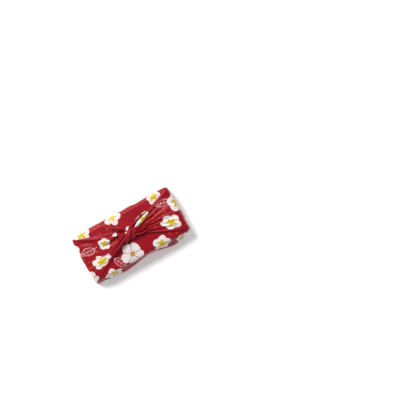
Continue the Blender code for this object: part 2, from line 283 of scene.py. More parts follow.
# Print, in places on the flat cloth. Kinds of blossom: petals, how far out each round petal has its middle,
# its radius, and the heart, a star whose points add to it, all as shares of the blossom's radius
BLOOM_KINDS = (
    {"petals": 5.0, "middle": 0.56, "round": 0.42, "heart": 0.27, "star": 0.28},
    {"petals": 6.0, "middle": 0.60, "round": 0.33, "heart": 0.34, "star": 0.22},
    {"petals": 5.0, "middle": 0.52, "round": 0.46, "heart": 0.15, "star": 0.05},
)
BLOOMS = table(
    "u v radius kind turn",
    (-0.018, 0.098, 0.021, 1, 20),
    (-0.100, 0.100, 0.022, 1, 64),
    (0.088, 0.104, 0.019, 2, 12),
    (0.048, 0.076, 0.020, 1, 40),
    (-0.018, 0.196, 0.027, 3, 33),
    (0.052, 0.210, 0.022, 1, 8),
    (-0.078, 0.222, 0.022, 1, 50),
    (0.098, 0.232, 0.016, 2, 25),
    (0.160, 0.016, 0.024, 1, 30),
    (0.196, -0.026, 0.024, 1, 76),
    (0.142, -0.038, 0.018, 2, 44),
    (-0.205, -0.020, 0.027, 2, 18),
    (-0.155, -0.046, 0.024, 3, 70),
    (-0.150, 0.030, 0.022, 1, 15),
    (-0.228, 0.030, 0.015, 1, 35),
    (0.000, -0.005, 0.028, 3, 12),
    (0.070, 0.020, 0.023, 1, 58),
    (-0.072, -0.018, 0.023, 1, 26),
    (-0.030, 0.038, 0.016, 2, 9),
    (0.105, -0.030, 0.018, 2, 40),
    (0.110, -0.075, 0.018, 1, 0),
    (-0.110, -0.072, 0.018, 2, 30),
    (0.326, 0.005, 0.024, 1, 22),
    (-0.351, 0.030, 0.028, 1, -54),
)
# The kind with lined petals, and half the step between two kinds' numbers
LARGE_KIND = 3.0
KIND_APART = 0.5
BLOOM_REACH = 1.35
# How far the drawing strays, and the places of the noise that it strays by along x and y
BLOOM_DRIFT = 0.22
BLOOM_DRIFT_SHIFTS = ((0.0, 0.0, 0.0), (0.37, 0.11, 0.0))
# Edges and lines of the print: the distance at which each has faded out, and at which it is full
PRINT_EDGE = (0.012, -0.012)
BLOOM_MIDDLE = (0.400, 0.388)
PETAL_LINE = (0.030, 0.020)
PETAL_LINE_END = (0.86, 0.80)
PETAL_VEIN = (0.020, 0.012)
PETAL_VEIN_END = (0.46, 0.42)
LEAF_RIM = (0.045, 0.030)
LEAF_RIM_END = (1.02, 0.99)
LEAF_RIB = (0.039, 0.024)
LEAF_RIB_END = (0.84, 0.80)
LEAF_STALK_END = (-1.38, -1.35)
LEAF_VEIN = (0.036, 0.021)
LEAF_VEIN_END = (0.72, 0.68)
LEAF_VEIN_FADE = (0.0, 0.02)
DOT_EDGE = (1.12, 0.88)
DOT_PATCH_EDGE = (0.30, 0.55)
# Noise of the cloth and its print: scale and layers, and the span of the noise that shows
TONE_NOISE = (14.0, 4.0)
BLOOM_DRIFT_NOISE = (55.0, 0.0)
PUCKER_NOISE = (160.0, 3.0)
STREAK_NOISE = (180.0, 3.0)
STREAK_SPAN = (0.35, 0.75)
FLECK_NOISE = (420.0, 1.0)
FLECK_SPAN = (0.50, 0.62)
LEAVES = table(
    "u v half turn",
    (-0.052, 0.200, 0.018, 62),
    (0.022, 0.225, 0.020, 14),
    (0.192, 0.034, 0.020, 30),
    (-0.185, 0.020, 0.019, -20),
    (-0.058, 0.076, 0.020, 35),
    (0.036, -0.034, 0.021, -50),
    (-0.105, 0.022, 0.020, 80),
)
LEAF_REACH = 1.5
LEAF_WIDTH = 0.44
LEAF_LEAN = 0.10
LEAF_VEIN_GAP = 0.46
LEAF_VEIN_SLANT = 0.95
LEAF_VEIN_REACH = 0.82
DOT_PATCHES = table(
    "u v spread",
    (-0.050, 0.135, 0.042),
    (0.100, 0.170, 0.040),
    (0.220, 0.006, 0.046),
    (-0.176, 0.004, 0.042),
    (-0.020, 0.240, 0.030),
    (0.070, -0.020, 0.045),
    (-0.270, 0.010, 0.030),
)
DOT_GAP = 0.0125
DOT_RADIUS = 0.0018
DOT_LARGER = 0.0011
DOT_UNEVEN = 0.80
DOT_STRENGTH = 0.8

# Colours of the print and of the cloth, which is deeper in places
CRIMSON = (0.372, 0.0034, 0.0165, 1.0)
CRIMSON_DEEP = (0.302, 0.0022, 0.0112, 1.0)
PETAL_WHITE = (0.88, 0.80, 0.775, 1.0)
PETAL_SHADE = (0.80, 0.70, 0.68, 1.0)
PETAL_LINE_COLOUR = (0.140, 0.012, 0.018, 1.0)
HEART_YELLOW = (0.74, 0.52, 0.010, 1.0)
HEART_OLIVE = (0.42, 0.30, 0.020, 1.0)
HEART_RUST = (0.45, 0.085, 0.010, 1.0)
LEAF_COLOUR = (0.78, 0.44, 0.44, 1.0)
DOT_COLOUR = (0.52, 0.075, 0.020, 1.0)
THREAD_COLOUR = (0.16, 0.006, 0.012, 1.0)
REVERSE_PRINT = 0.25

# Weave, hem and finish
THREAD_GAP = 0.00045
WEAVE_DEPTH = 0.00003
PUCKER_DEPTH = 0.00022
HEM_DEPTH = 0.0004
HEM_EDGE = (HEM_WIDTH, 0.85 * HEM_WIDTH)
STITCH_INSET = 0.0010
STITCH_LINE = (0.000252, 0.000108)
STITCH_GAP = 0.0022
STITCH_END = (0.36 * STITCH_GAP, 0.30 * STITCH_GAP)
STITCH_SHADE = 0.5
STITCH_DEPTH = 0.00025
ROUGHNESS = (0.36, 0.46)
CLOTH_FINISH = {
    "Specular IOR Level": 0.22,
    "Sheen Weight": 0.02,
    "Sheen Roughness": 0.45,
    "Sheen Tint": (1.0, 0.62, 0.66, 1.0),
}

# Studio: a pale floor that glows slightly, a broad far light from the upper left, and the camera above
FLOOR_SIDE = 12.0
FLOOR_COLOUR = (0.94, 0.94, 0.94, 1.0)
FLOOR_FINISH = {
    "Base Color": FLOOR_COLOUR,
    "Roughness": 0.9,
    "Specular IOR Level": 0.0,
    "Emission Color": FLOOR_COLOUR,
    "Emission Strength": 0.28,
}
AMBIENT = 0.30
BACKDROP = 1.0
KEY_AHEAD = (-0.265, 0.964, 1.10)
KEY_STRENGTH = 3.3
KEY_ANGLE = math.radians(24)
CAMERA_HEIGHT = 1.70
SENSOR = 36.0
VIEW_WIDTH = 0.943
VIEW_MIDDLE = (0.1775, -0.0025)
VIEW_TURN = math.radians(60.4)


def mix(a, b, share):
    return a + (b - a) * share


def smooth(value, low, high):
    """Rises from 0 at low to 1 at high without a kink."""
    share = np.clip((value - low) / (high - low), 0.0, 1.0)
    return share * share * (3 - 2 * share)


def bell(distance):
    return np.exp(-distance * distance)


def places(*parts):
    """Points whose last axis takes one value of each part. The parts may have different shapes."""
    return np.stack(np.broadcast_arrays(*parts), axis=-1).astype(float)


def unit(vectors):
    return vectors / np.maximum(np.linalg.norm(vectors, axis=-1, keepdims=True), TINY)


def front_slack(x):
    total = sum(slack["reach"] * bell((x - slack["x"]) / slack["spread"]) for slack in FRONT_SLACK)
    return total * (1 - np.abs(2 * x / LENGTH) ** SLACK_POWER)


def front_belly(level):
    """Share of the slack at a level of the -Y side: full low down, less at the foot, none at the top."""
    low = mix(FRONT_FOOT_SHARE, 1.0, smooth(level, 0.0, FRONT_FULL_LEVEL))
    return np.where(level > FRONT_FULL_LEVEL, 1 - smooth(level, FRONT_FULL_LEVEL, 1.0), low)


def rounded(point):
    """Points of the sharp box, moved onto the same box with round edges, and their outward normals."""
    radius = mix(BASE_ROUND, TOP_ROUND, point[..., 2:] / HEIGHT)
    half = np.array([LENGTH / 2, WIDTH / 2])
    inner = point.copy()
    inner[..., :2] = np.clip(point[..., :2], radius - half, half - radius)
    inner[..., 2:] = np.clip(point[..., 2:], radius, HEIGHT - radius)
    normal = unit(point - inner)
    return inner + normal * radius, normal


def settled(point):
    """The same points once the cloth has crowned, bulged and slumped."""
    x, y, z = point[..., 0], point[..., 1], point[..., 2]
    along = np.clip(2 * x / LENGTH, -1.0, 1.0)
    across = np.clip(2 * y / WIDTH, -1.0, 1.0)
    level = np.clip(z / HEIGHT, 0.0, 1.0)
    belly = 4 * level * (1 - level)
    rise = CROWN * (1 - along**2) * (1 - across**2)
    rise += KNOT_LIFT * bell(np.hypot(x, y) / KNOT_LIFT_REACH)
    for slump in SLUMPS:
        rise -= slump["fall"] * bell(np.hypot(x - slump["x"], y - slump["y"]) / slump["reach"])
    rise -= np.where(across < 0, FRONT_DROOP * across**DROOP_POWER, 0.0)
    front = -front_slack(x) * front_belly(level) * across**2
    slack = mix(BACK_SLACK["left"], BACK_SLACK["right"], (along + 1) / 2)
    back = BACK_BULGE + slack * (1 - np.abs(along) ** BACK_SLACK_POWER)
    shift = np.where(across < 0, front, back * belly * across**2)
    stretch = END_BULGE + np.where(x < 0, LEFT_END_SLACK, 0.0)
    stretch = stretch * belly * (1 - END_BULGE_LOSS * across**2) * np.abs(along) ** END_BULGE_POWER
    hang = bell(np.hypot(x - POUCH["x"], y - POUCH["y"]) / POUCH["reach"]) * (1 - level) ** POUCH["power"]
    x = x + np.copysign(stretch, x) + POUCH["out_x"] * hang
    return places(x, y + shift + LEAN + POUCH["out_y"] * hang, z + rise * level)


def ripple(points, form):
    """Smooth uneven heights, up and down by the form's rise, with features of its size."""
    shift = Vector([form["seed"] * part for part in RIPPLE_SHIFT])
    values = [noise.noise(Vector(point) + shift) for point in points.reshape(-1, 3) / form["size"]]
    return form["rise"] * np.array(values).reshape(points.shape[:-1])


def grid_faces(rows, columns):
    """Corner numbers of the quads of a grid of points, row by row."""
    first = (np.arange(rows - 1)[:, None] * columns + np.arange(columns - 1)).reshape(-1)
    return np.stack([first, first + columns, first + columns + 1, first + 1], axis=1)


def stops(low, high, round_low, round_high, step):
    """Grid lines from low to high, closer inside the round edges so that these turn evenly."""
    turns = np.tan(np.radians(45) * (1 - np.arange(ROUND_LINES) / ROUND_LINES))
    first = low + round_low * (1 - turns)
    last = high - round_high * (1 - turns[::-1])
    start, end = low + round_low, high - round_high
    middle = np.linspace(start, end, max(2, round((end - start) / step) + 1))
    return np.concatenate([first, middle, last])


def box_faces(counts):
    """Quads of the six sides of a grid box: grid places of their corners, and each one's side."""
    quads, sides = [], []
    for axis in range(3):
        a, b = (axis + 1) % 3, (axis + 2) % 3
        for end in (0, counts[axis] - 1):
            i, j = np.meshgrid(np.arange(counts[a] - 1), np.arange(counts[b] - 1), indexing="ij")
            turns = ((0, 0), (1, 0), (1, 1), (0, 1))
            corners = np.zeros((i.size, 4, 3), int)
            corners[..., axis] = end
            for k, (da, db) in enumerate(turns if end else turns[::-1]):
                corners[:, k, a] = i.reshape(-1) + da
                corners[:, k, b] = j.reshape(-1) + db
            quads.append(corners)
            sides += [("low", "high")[end > 0] + "xyz"[axis]] * i.size
    return np.concatenate(quads), np.array(sides)


def wrinkles(x, y, z):
    """Shallow unevenness that the wrapped body and the wings over it share, none at the flat base."""
    point = places(x, y, z)
    at_end = smooth(np.abs(x), LENGTH / 2 - PULL_END, LENGTH / 2)
    squeeze = PULL_OVER["size"] / PULL_ALONG
    over = ripple(places(x + PULL_SLANT * z, y * squeeze, z * squeeze), PULL_OVER)
    up_end = ripple(places(x * squeeze, y + PULL_SLANT * z, z * squeeze), PULL_UP_END)
    uneven = ripple(point, WRINKLE_BROAD) + ripple(point, WRINKLE_FINE) + mix(over, up_end, at_end)
    return uneven * smooth(z, 0.0, WRINKLE_FREE_FOOT)


def skin(x, y, z, lift):
    """Points that lie a given height over the settled cloth of the body."""
    point, normal = rounded(places(x, y, z))
    return settled(point) + normal * (lift + wrinkles(x, y, z))[..., None]


def pleat_rise(wing, run, across):
    """Height of the gathers at run (0 at the top edge, 1 at the knot) and across (-1 to 1)."""
    sink = PLEAT_SINK * smooth(run, PLEAT_SINK_START, PLEAT_SINK_FULL) * (1 - np.minimum(across**4, 1.0))
    sway = PLEAT_SWAY * np.sin(PLEAT_SWAY_WAVES * run + PLEAT_SWAY_LEAN * across + wing["sign"])
    across = across + sway * (1 - np.minimum(across**2, 1.0)) * (1 - np.clip(run, 0.0, 1.0))
    height = 0 * across
    for pleat in PLEATS[wing["name"]]:
        grown = smooth(run, pleat["start"] - PLEAT_FADE, pleat["start"] + PLEAT_GROWTH)
        off = (across - pleat["at"]) / (pleat["half"] * PLEAT_SPAN)
        height = np.maximum(height, grown * (pleat["rise"] * PLEAT_LIFT + sink) * (1 - off**2))
    drift = BROAD_DRIFT * np.sin(BROAD_BEAT * across + 2 * wing["sign"])
    broad = np.sin(BROAD_WAVES * across + drift + BROAD_LEAN * run) + 1
    height = height + BROAD_RISE * broad * smooth(run, BROAD_START, BROAD_FULL)
    for slant in SLANTS[wing["name"]]:
        off = across - mix(slant["at"], slant["to"], np.clip(run, 0.0, 1.0))
        crease = np.maximum(1 - np.maximum(off / slant["above"], -off / slant["below"]), 0.0)
        there = smooth(run, *SLANT_START) * smooth(run, slant["end"], slant["end"] - SLANT_FADE)
        height = height + slant["rise"] * crease * there
    uneven = FINE_PLEAT_DRIFT * np.sin(FINE_PLEAT_BEAT * across + wing["sign"])
    waves = np.abs(np.sin((FINE_PLEAT_WAVES * across + uneven + FINE_PLEAT_LEAN * run) / 2)) - FINE_PLEAT_MEAN
    return height - sink + 2 * FINE_PLEAT_RISE * waves * smooth(run, FINE_PLEAT_START, FINE_PLEAT_FULL)


def gathered(wing, run, across):
    """Where a thread of the wing lies across the top, its place on the rope, and its share past the rope."""
    held = np.clip(run, 0.0, 1.0)
    low = mix(-WING_HALF, NECK_LOW, held)
    high = mix(WING_HALF, wing["neck_high"], held)
    high = mix(high, NECK_TUCK, smooth(run, NECK_TUCK_START, 1 + NECK_PAST))
    share = (across + 1) / 2
    even = mix(low, high, share)
    if wing["share"] == 1.0:
        return even, across + 0 * even, 0 * even
    rope_high = np.minimum(low + 2 * ROPE_HALF, mix(low, high, ROPE_MOST))
    place = np.minimum(share / wing["share"], 1.0) + 0 * even
    beyond = np.maximum(share - wing["share"], 0.0) / (1 - wing["share"]) + 0 * even
    target = np.where(beyond > 0, mix(rope_high, high, beyond), mix(low, rope_high, place))
    return mix(even, target, smooth(run, 0.0, wing["full"])), 2 * place - 1, beyond


def wing_points(wing, run, across, up, out):
    """Points of a wing: run is -1 at the foot of the end, 0 at the top edge and 1 at the knot. up is 1 on the
    outer face and 0 on the margin turned under, and out is how far the fold stands past its edge."""
    rise = pleat_rise(wing, run, across)
    z = HEIGHT + np.minimum(run, 0.0) * (HEIGHT - WING_FOOT)
    end_x = wing["sign"] * LENGTH / 2
    end = skin(end_x, WING_HALF * across + out, z, mix(WING_UNDER, WING_THICK + rise, up))
    on_top = np.maximum(run, 0.0)
    x = wing["sign"] * mix(LENGTH / 2, NECK_X, on_top)
    y, place, beyond = gathered(wing, on_top, across)
    rope_tent = WING_TENT * (1 - place**TENT_POWER)
    tent = np.where(beyond > 0, 2 * WING_TENT * beyond * (1 - beyond), rope_tent)
    flat = skin(x, y + out, HEIGHT, WING_THICK + np.minimum(on_top, 1.0) ** 2 * tent + rise)
    low = mix(-WING_HALF, NECK_LOW, np.minimum(on_top, 1.0))
    seat = skin(x, low + ROPE_HALF, HEIGHT, np.full(run.shape, ROPE_SEAT))
    turn = ROPE_WRAP * place
    ahead = places(0 * turn, np.sin(turn), np.cos(turn))
    rope = seat + ahead * np.array([0.0, ROPE_HALF, ROPE_RISE]) + ahead * rise[..., None]
    roped = np.where(beyond > 0, 0.0, smooth(on_top, wing["starts"], wing["full"]))
    top = mix(flat, rope, roped[..., None])
    under = skin(x, y + out, HEIGHT, np.full(y.shape, WING_UNDER))
    lying = mix(under, top, (up + 0 * run)[..., None])
    return np.where((run > 0)[..., None], lying, end)


def wing_columns():
    """Across a wing, from one margin turned under to the other: place, up and out."""
    tops = np.linspace(-1.0, 1.0, round(2 * WING_HALF / WING_STEP) + 1)
    turns = np.radians(np.linspace(90, -90, FOLD_LINES + 2))[1:]
    margin = np.linspace(1.0, 1.0 - MARGIN_SHARE, MARGIN_LINES + 1)[1:]
    side = np.concatenate([np.ones(turns.size), margin])
    up = np.concatenate([(1 + np.sin(turns)) / 2, np.zeros(margin.size)])
    out = np.concatenate([FOLD_RADIUS * np.cos(turns), np.zeros(margin.size)])
    return (
        np.concatenate([-side[::-1], tops, side]),
        np.concatenate([up[::-1], np.ones(tops.size), up]),
        np.concatenate([-out[::-1], np.zeros(tops.size), out]),
    )


def wing_rows():
    """Along a wing, from the foot of the end to just inside the knot."""
    zs = stops(0.0, HEIGHT, BASE_ROUND, TOP_ROUND, WING_STEP)
    reach = LENGTH / 2 - NECK_X
    over = stops(0.0, reach, TOP_ROUND, WING_STEP, WING_STEP)[1:]
    past = np.linspace(1.0, 1.0 + NECK_PAST, NECK_ROWS + 1)[1:]
    return np.concatenate([(zs - HEIGHT) / HEIGHT, over / reach, past])


def wing_flat(wing, run, across, up):
    """Where the points of a wing lie on the flat cloth."""
    u = LENGTH / 2 + HEIGHT * (1 + np.minimum(run, 0.0)) + np.maximum(run, 0.0) * (LENGTH / 2 - NECK_X)
    v = WING_HALF * np.where(up > 0, across, np.copysign(2.0, across) - across)
    return places(wing["sign"] * u, v)


def make_wing(wing):
    """A gathered wing: a thin sheet whose side margins are turned under."""
    across, up, out = (line[None, :] for line in wing_columns())
    run = wing_rows()[:, None]
    points = wing_points(wing, run, across, up, out)
    flat = wing_flat(wing, run, across, up)
    faces = grid_faces(*points.shape[:2])
    if wing["sign"] > 0:
        faces = faces[:, ::-1]
    flat = flat.reshape(-1, 2)[faces]
    piece = cloth_piece("wing_" + wing["name"], points.reshape(-1, 3), faces, flat)
    return thicken(piece)


def make_body():
    """The wrapped body: the base, the flap that comes over the top, and the layer under its slanted edge."""
    xs = stops(-LENGTH / 2, LENGTH / 2, TOP_ROUND, TOP_ROUND, BODY_STEP)
    ys = stops(-WIDTH / 2, WIDTH / 2, TOP_ROUND, TOP_ROUND, BODY_STEP)
    zs = stops(0.0, HEIGHT, BASE_ROUND, TOP_ROUND, BODY_STEP)
    corners, sides = box_faces([len(xs), len(ys), len(zs)])
    number = (corners[..., 0] * len(ys) + corners[..., 1]) * len(zs) + corners[..., 2]
    used, faces = np.unique(number, return_inverse=True)
    faces = faces.reshape(number.shape)
    grid = places(xs[used // (len(ys) * len(zs))], ys[used // len(zs) % len(ys)], zs[used % len(zs)])
    grid, faces, sides = cut_flap(grid, faces, sides)
    x, y, z = grid[:, 0], grid[:, 1], grid[:, 2]
    front = smooth(-y, WIDTH / 2 - TOP_ROUND, WIDTH / 2)
    sunk = FLAP_STEP * np.clip(-flap_margin(grid) / FLAP_EDGE, 0.0, 1.0) * front
    points = skin(x, y, z, -sunk)
    box = grid[faces]
    margin = flap_margin(box)
    on_flap = (sides == "lowy") & (margin.mean(axis=1) > 0)
    edge = np.full(box.shape[:2] + (2,), FAR)
    edge[on_flap, :, 0] = margin[on_flap] / math.sqrt(2)
    edge[on_flap, :, 1] = (box[..., 2] + np.abs(box[..., 0]))[on_flap] / math.sqrt(2)
    return cloth_piece("wrap", points, faces, body_flat(box, sides, on_flap), edge)


def flap_margin(point):
    """How far inside the flap's slanted edges a place of the -Y side lies, measured along X."""
    return FLAP_FOOT + point[..., 2] - np.abs(point[..., 0])


def cut_flap(grid, faces, sides):
    """The box grid as triangles, split along the flap's slanted edges so that these are straight."""
    bm = bmesh.new()
    verts = [bm.verts.new(point) for point in grid]
    side_of = bm.faces.layers.int.new("side")
    names = sorted(set(sides))
    for face, side in zip(faces, sides):
        bm.faces.new([verts[k] for k in face])[side_of] = names.index(side)
    for sign in (1, -1):
        for beyond in (0.0, FLAP_EDGE):
            chosen = [face for face in bm.faces if names[face[side_of]] == "lowy"]
            edges = dict.fromkeys(edge for face in chosen for edge in face.edges)
            corners = dict.fromkeys(vert for face in chosen for vert in face.verts)
            bmesh.ops.bisect_plane(
                bm,
                geom=[*corners, *edges, *chosen],
                plane_co=(sign * (FLAP_FOOT + beyond), 0, 0),
                plane_no=(sign, 0, -1),
            )
    bmesh.ops.triangulate(bm, faces=bm.faces)
    bm.verts.index_update()
    grid = np.array([vert.co[:] for vert in bm.verts])
    sides = np.array([names[face[side_of]] for face in bm.faces])
    faces = np.array([[vert.index for vert in face.verts] for face in bm.faces])
    bm.free()
    return grid, faces, sides


def body_flat(box, sides, on_flap):
    """Where the corners of the body's faces lie on the flat cloth."""
    x, y, z = box[..., 0], box[..., 1], box[..., 2]
    side = sides[:, None]
    u = np.where(np.char.endswith(side, "x"), np.sign(x) * (LENGTH / 2 + z), x)
    v = np.select(
        [side == "highz", side == "highy", on_flap[:, None], side == "lowy"],
        [WIDTH + HEIGHT - y, WIDTH / 2 + z, 3 * WIDTH / 2 + 2 * HEIGHT - z, -WIDTH / 2 - z],
        y,
    )
    return places(u, v)


def smooth_line(points, count):
    """Points evenly spread in number along a smooth curve through the given ones, ends included."""
    given = np.asarray(points, float)
    padded = np.concatenate([2 * given[:1] - given[1:2], given, 2 * given[-1:] - given[-2:-1]])
    at = np.linspace(0, len(given) - 1, count)
    first = np.minimum(at.astype(int), len(given) - 2)
    t = (at - first)[:, None]
    a, b, c, d = (padded[first + k] for k in range(4))
    return 0.5 * (2 * b + (c - a) * t + (2 * a - 5 * b + 4 * c - d) * t**2 + (3 * b - a - 3 * c + d) * t**3)


def swept(path, side, sections):
    """A grid of points: each section, given as sideways, up and ahead, stands at its point of the path."""
    ahead = unit(np.gradient(path, axis=0))
    up = unit(np.cross(ahead, side))
    return (
        path[:, None]
        + sections[..., 0:1] * side
        + sections[..., 1:2] * up[:, None]
        + sections[..., 2:3] * ahead[:, None]
    )


def arch_grid(arch):
    """One fold of the knot as a ridged roll of cloth, from foot to foot."""
    start = np.array([*arch["start"], HEIGHT + ARCH_FOOT]) + [0, LEAN, 0]
    end = np.array([*arch["end"], HEIGHT + ARCH_FOOT]) + [0, LEAN, 0]
    side = unit(np.cross([0, 0, 1], end - start))
    turn = np.linspace(0, math.pi, ARCH_STEPS + 1)
    level = arch["rise"] * np.sin(turn) ** ARCH_POWER
    path = start + (end - start) * ((1 - np.cos(turn)) / 2)[:, None]
    path[:, 2] += level
    round_ = np.linspace(0, 2 * math.pi, ARCH_SIDES + 1)[None, :]
    twist = ARCH_TWIST * turn[:, None]
    uneven = ARCH_UNEVEN * np.sin(2 * round_ + ARCH_UNEVEN_BEAT * turn[:, None])
    valley = 1 - np.abs(np.sin(ARCH_RIDGES * (round_ + uneven) / 2 + twist)) ** ARCH_RIDGE_SHARP
    ridge = 1 - ARCH_RIDGE_DEPTH * valley
    pinch = mix(ARCH_PINCH, 1.0, np.sin(turn))[:, None]
    sections = places(
        arch["half"] * np.cos(round_) * ridge * pinch, arch["thick"] * np.sin(round_) * ridge, 0.0
    )
    roll = swept(path, side, sections)
    feet = [np.broadcast_to(path[k], roll[:1].shape) for k in (0, -1)]
    return np.concatenate([feet[0], roll, feet[1]])


def core_grid():
    """The cloth packed inside the knot, as an oval with shallow ridges."""
    polar = np.linspace(0, math.pi, CORE_STEPS + 1)[:, None]
    round_ = np.linspace(0, 2 * math.pi, ARCH_SIDES + 1)[None, :]
    valley = 1 - np.abs(np.sin(CORE_RIDGES * polar / 2 + np.sin(round_)))
    ridge = 1 - CORE_RIDGE_DEPTH * valley * smooth(np.sin(polar), 0.0, CORE_SMOOTH_POLE)
    shape = places(np.cos(polar), np.sin(polar) * np.cos(round_), np.sin(polar) * np.sin(round_))
    middle = np.array(KNOT_CORE["middle"]) + [0, LEAN, HEIGHT]
    return middle + shape * ridge[..., None] * np.array(KNOT_CORE["radii"])


def make_knot():
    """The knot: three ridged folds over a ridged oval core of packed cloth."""
    points, faces, flat = [], [], []
    count = 0
    grids = [core_grid()] + [arch_grid(arch) for arch in ARCHES]
    for grid, at in zip(grids, KNOT_FLAT):
        rows, columns = grid.shape[:2]
        quads = grid_faces(rows, columns)
        along = np.linspace(0, KNOT_FLAT_LENGTH, rows)[:, None]
        round_ = np.linspace(0, KNOT_FLAT_WIDTH, columns)[None, :]
        points.append(grid.reshape(-1, 3))
        flat.append(places(at[0] + along, at[1] + round_).reshape(-1, 2)[quads])
        faces.append(quads + count)
        count += rows * columns
    piece = cloth_piece("knot", np.concatenate(points), np.concatenate(faces), np.concatenate(flat))
    return closed(piece)


def make_tail(name, stations):
    """A loose corner of the cloth, folded on itself, with its hem along both sides and its end."""
    path = smooth_line([(s["x"], s["y"] + LEAN, HEIGHT + s["up"]) for s in stations], TAIL_STEPS + 1)
    sizes = smooth_line([(s["half"], s["thick"]) for s in stations], TAIL_STEPS + 1)
    section = smooth_line(TAIL_SECTIONS[name], TAIL_SIDES + 1)
    run = path[-1] - path[0]
    side = unit(np.cross([0, 0, 1], run))
    half, thick = sizes[:, 0:1], sizes[:, 1:2]
    across, up = section[None, :, 0], section[None, :, 1]
    share = np.linspace(-1, 1, TAIL_SIDES + 1)[None, :]
    along = np.linspace(0, 1, TAIL_STEPS + 1)[:, None]
    cup, skew = TAIL_ENDS[name]
    ahead = (cup * across**2 - skew * across) * smooth(along, TAIL_END_START, 1.0)
    fold = TAIL_FOLD_RISE[name] * np.sin(TAIL_FOLD_WAVES * share + TAIL_FOLD_LEAN * along)
    fold = fold * (1 - smooth(along, 0.0, TAIL_FOLD_END))
    points = swept(path, side, places(half * across, thick * up + fold, ahead))
    points[..., 2] += smooth(along, 0.0, TAIL_END_START) * ripple(points, TAIL_RIPPLE)
    sign = 1 if name == "right" else -1
    u = sign * mix(TAIL_FLAT_START, CORNER - TAIL_TIP_GAP, along)
    v = TAIL_FLAT_HALF * share * mix(1.0, TAIL_TIP_SHARE[name], along)
    width, length = 2 * half * TAIL_SPREAD, np.linalg.norm(run)
    to_side, to_end = (1 - np.abs(share)) / 2 * width, (1 - along) * length
    place_along = np.where(to_side < to_end, along * length, share * width / 2)
    faces = grid_faces(TAIL_STEPS + 1, TAIL_SIDES + 1)
    flat = places(u, v).reshape(-1, 2)[faces]
    edge = places(np.minimum(to_side, to_end), place_along).reshape(-1, 2)[faces]
    return thicken(cloth_piece("tail_" + name, points.reshape(-1, 3), faces, flat, edge), reverse=True)


def turned(local, angle):
    """Flat places turned backwards by an angle each."""
    x, y = local[..., 0], local[..., 1]
    c, s = np.cos(angle)[:, None], np.sin(angle)[:, None]
    return places(x * c + y * s, y * c - x * s)


def nearest_motif(flat, motifs, size, reach):
    """For each face, its corners' places in the nearest motif, with 1 at the motif's size, and that motif's
    number from 1, or 0 where none is within reach."""
    at = np.array([(m["u"], m["v"]) for m in motifs])
    sizes = np.array([m[size] for m in motifs])
    turns = np.radians([m["turn"] for m in motifs])
    ratio = np.linalg.norm(flat.mean(axis=1)[:, None] - at, axis=2) / sizes
    best = ratio.argmin(axis=1)
    local = turned((flat - at[best][:, None]) / sizes[best][:, None, None], turns[best])
    return local, np.where(ratio.min(axis=1) < reach, best + 1, 0)


def corner_values(mesh, name, values, third):
    """Stores two values and a third one at each face corner."""
    if np.ndim(third) == 1:
        third = third[:, None]
    data = np.concatenate([values, np.broadcast_to(third, values.shape[:2])[..., None]], axis=-1)
    layer = mesh.attributes.new(name, "FLOAT_VECTOR", "CORNER")
    layer.data.foreach_set("vector", data.astype(np.float32).reshape(-1))


def cloth_piece(name, points, faces, flat, edge=None):
    """A mesh of the printed cloth. flat gives each face corner's place on the flat cloth, and edge its
    distance from the nearest hem and its place along that hem."""
    mesh = bpy.data.meshes.new(name)
    mesh.from_pydata(points.tolist(), [], faces.tolist())
    mesh.update()
    u, v = flat[..., 0], flat[..., 1]
    dots = sum(bell(np.hypot(u - spot["u"], v - spot["v"]) / spot["spread"]) for spot in DOT_PATCHES)
    corner_values(mesh, "cloth", flat, dots)
    local, number = nearest_motif(flat, BLOOMS, "radius", BLOOM_REACH)
    kinds = np.array([0] + [bloom["kind"] for bloom in BLOOMS])
    corner_values(mesh, "bloom", local, kinds[number])
    local, number = nearest_motif(flat, LEAVES, "half", LEAF_REACH)
    corner_values(mesh, "leaf", local, number > 0)
    corner_values(mesh, "hem", np.full_like(flat, FAR) if edge is None else edge, 0.0)
    mesh.shade_smooth()
    mesh.materials.append(printed)
    piece = bpy.data.objects.new(name, mesh)
    bpy.context.scene.collection.objects.link(piece)
    return piece


def thicken(piece, reverse=False):
    """Gives a sheet its thickness, inwards from its outer face."""
    solid = piece.modifiers.new("thickness", "SOLIDIFY")
    solid.thickness = CLOTH_THICK
    solid.offset = -1.0
    if reverse:
        piece.data.materials.append(unprinted)
        solid.material_offset = 1
    return piece


def closed(piece):
    """Welds the seams of rolled forms, so that light doesn't catch on them."""
    weld = piece.modifiers.new("weld", "WELD")
    weld.merge_threshold = WELD_DISTANCE
    return piece


